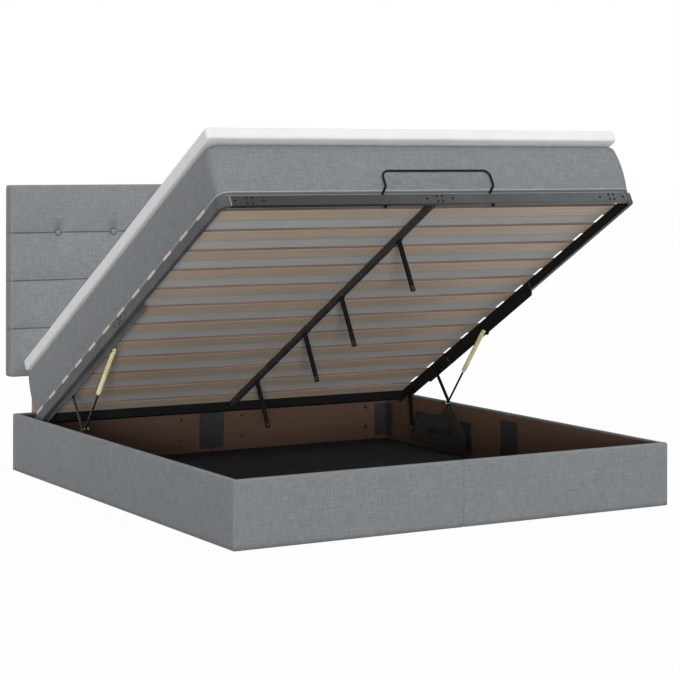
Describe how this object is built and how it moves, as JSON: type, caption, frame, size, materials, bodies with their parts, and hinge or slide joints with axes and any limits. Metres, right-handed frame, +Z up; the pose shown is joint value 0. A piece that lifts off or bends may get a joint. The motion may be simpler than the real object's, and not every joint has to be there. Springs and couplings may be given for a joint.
{
  "type": "ottoman storage bed",
  "caption": "Upholstered ottoman storage bed shown open: box base, button-back headboard, and a gas-lifted steel deck with slats, mattress and topper.",
  "frame": {"origin": "on the floor, in the middle of the bounding box of the raised bed", "axes": "+X to the right as seen from the foot, +Y towards the headboard, +Z up"},
  "size_m": [1.896, 2.095, 1.4326],
  "materials": {
    "upholstery": "woven",
    "buttons": "woven",
    "rail_board": "matt",
    "floor_board": "matt",
    "headboard_wood": "raw",
    "headboard_lining": "woven",
    "black_steel": "satin",
    "deck_steel": "satin",
    "screws": "bright",
    "brass": "bright",
    "slat_wood": "matt",
    "cap_plastic": "matt",
    "strut_body": "gloss",
    "strut_rod": "gloss",
    "mattress": "woven",
    "topper": "woven"
  },
  "bodies": {
    "base": {"left_rail_foot": "rail_board", "left_rail_head": "rail_board", "right_rail_foot": "rail_board", "right_rail_head": "rail_board", "foot_rail_left": "rail_board", "foot_rail_right": "rail_board", "head_rail_left": "rail_board", "head_rail_right": "rail_board", "left_rail_foot_cover": "upholstery", "left_rail_head_cover": "upholstery", "right_rail_foot_cover": "upholstery", "right_rail_head_cover": "upholstery", "foot_rail_left_cover": "upholstery", "foot_rail_right_cover": "upholstery", "head_rail_left_cover": "upholstery", "head_rail_right_cover": "upholstery", "floor_board_left": "floor_board", "floor_board_right": "floor_board", "rail_joint_plates": "black_steel", "corner_angles": "black_steel", "rail_screws": "screws", "headboard_core_left": "headboard_wood", "headboard_core_right": "headboard_wood", "headboard_cover_left": "upholstery", "headboard_cover_right": "upholstery", "headboard_backs": "headboard_lining", "headboard_buttons": "buttons", "headboard_posts": "headboard_wood", "post_bolts": "screws", "fixed_bracket_left": "black_steel", "fixed_bracket_right": "black_steel", "base_pivots": "brass"},
    "platform": {"side_tube_left": "deck_steel", "side_tube_right": "deck_steel", "foot_tube": "deck_steel", "tube_sleeves": "black_steel", "head_tube": "deck_steel", "centre_tube": "deck_steel", "slats": "slat_wood", "deck_legs": "black_steel", "leg_caps": "cap_plastic", "mattress": "mattress", "topper": "topper", "retaining_bar": "black_steel", "bar_nuts": "screws", "moving_bracket_left": "black_steel", "moving_bracket_right": "black_steel", "deck_pivots": "screws"},
    "front_link_left_body": {"front_link_left": "black_steel"},
    "rear_link_left_body": {"rear_link_left": "black_steel"},
    "strut_rod_left_body": {"strut_rod_left": "strut_rod"},
    "strut_cylinder_left_body": {"strut_cylinder_left": "strut_body"},
    "front_link_right_body": {"front_link_right": "black_steel"},
    "rear_link_right_body": {"rear_link_right": "black_steel"},
    "strut_rod_right_body": {"strut_rod_right": "strut_rod"},
    "strut_cylinder_right_body": {"strut_cylinder_right": "strut_body"}
  },
  "joints": [
    {"name": "platform_lift", "type": "hinge", "parent": "base", "child": "platform", "pos_m": [0, 0.8675, 0.4422], "axis": [1, 0, 0], "range_deg": [0, 29.2], "stiffness_Nm_per_rad": 6500, "springref_deg": -24.87},
    {"name": "front_link_left_turn", "type": "hinge", "parent": "base", "child": "front_link_left_body", "pos_m": [-0.8748, 0.38997, 0.24072], "axis": [1, 0, 0], "range_deg": [-54.56, 0]},
    {"name": "rear_link_left_turn", "type": "hinge", "parent": "base", "child": "rear_link_left_body", "pos_m": [-0.8748, 0.69692, 0.0985], "axis": [1, 0, 0], "range_deg": [-38.47, 0]},
    {"name": "strut_rod_left_turn", "type": "hinge", "parent": "base", "child": "strut_rod_left_body", "pos_m": [-0.8748, 0.38997, 0.24072], "axis": [1, 0, 0], "range_deg": [0, 61.39]},
    {"name": "strut_cylinder_left_slide", "type": "slide", "parent": "strut_rod_left_body", "child": "strut_cylinder_left_body", "axis": [0, -0.6391, 0.7691], "range_m": [-0.18484, 0]},
    {"name": "front_link_right_turn", "type": "hinge", "parent": "base", "child": "front_link_right_body", "pos_m": [0.8748, 0.38997, 0.24072], "axis": [1, 0, 0], "range_deg": [-54.56, 0]},
    {"name": "rear_link_right_turn", "type": "hinge", "parent": "base", "child": "rear_link_right_body", "pos_m": [0.8748, 0.69692, 0.0985], "axis": [1, 0, 0], "range_deg": [-38.47, 0]},
    {"name": "strut_rod_right_turn", "type": "hinge", "parent": "base", "child": "strut_rod_right_body", "pos_m": [0.8748, 0.38997, 0.24072], "axis": [1, 0, 0], "range_deg": [0, 61.39]},
    {"name": "strut_cylinder_right_slide", "type": "slide", "parent": "strut_rod_right_body", "child": "strut_cylinder_right_body", "axis": [0, -0.6391, 0.7691], "range_m": [-0.18484, 0]}
  ],
  "couplings": [
    {"joint": "front_link_left_turn", "follows": "platform_lift", "ratio": -1.8616},
    {"joint": "rear_link_left_turn", "follows": "platform_lift", "ratio": -1.3107},
    {"joint": "strut_rod_left_turn", "follows": "platform_lift", "ratio": 2.0955},
    {"joint": "strut_cylinder_left_slide", "follows": "platform_lift", "m_per_rad": -0.36073},
    {"joint": "front_link_right_turn", "follows": "platform_lift", "ratio": -1.8616},
    {"joint": "rear_link_right_turn", "follows": "platform_lift", "ratio": -1.3107},
    {"joint": "strut_rod_right_turn", "follows": "platform_lift", "ratio": 2.0955},
    {"joint": "strut_cylinder_right_slide", "follows": "platform_lift", "m_per_rad": -0.36073}
  ]
}
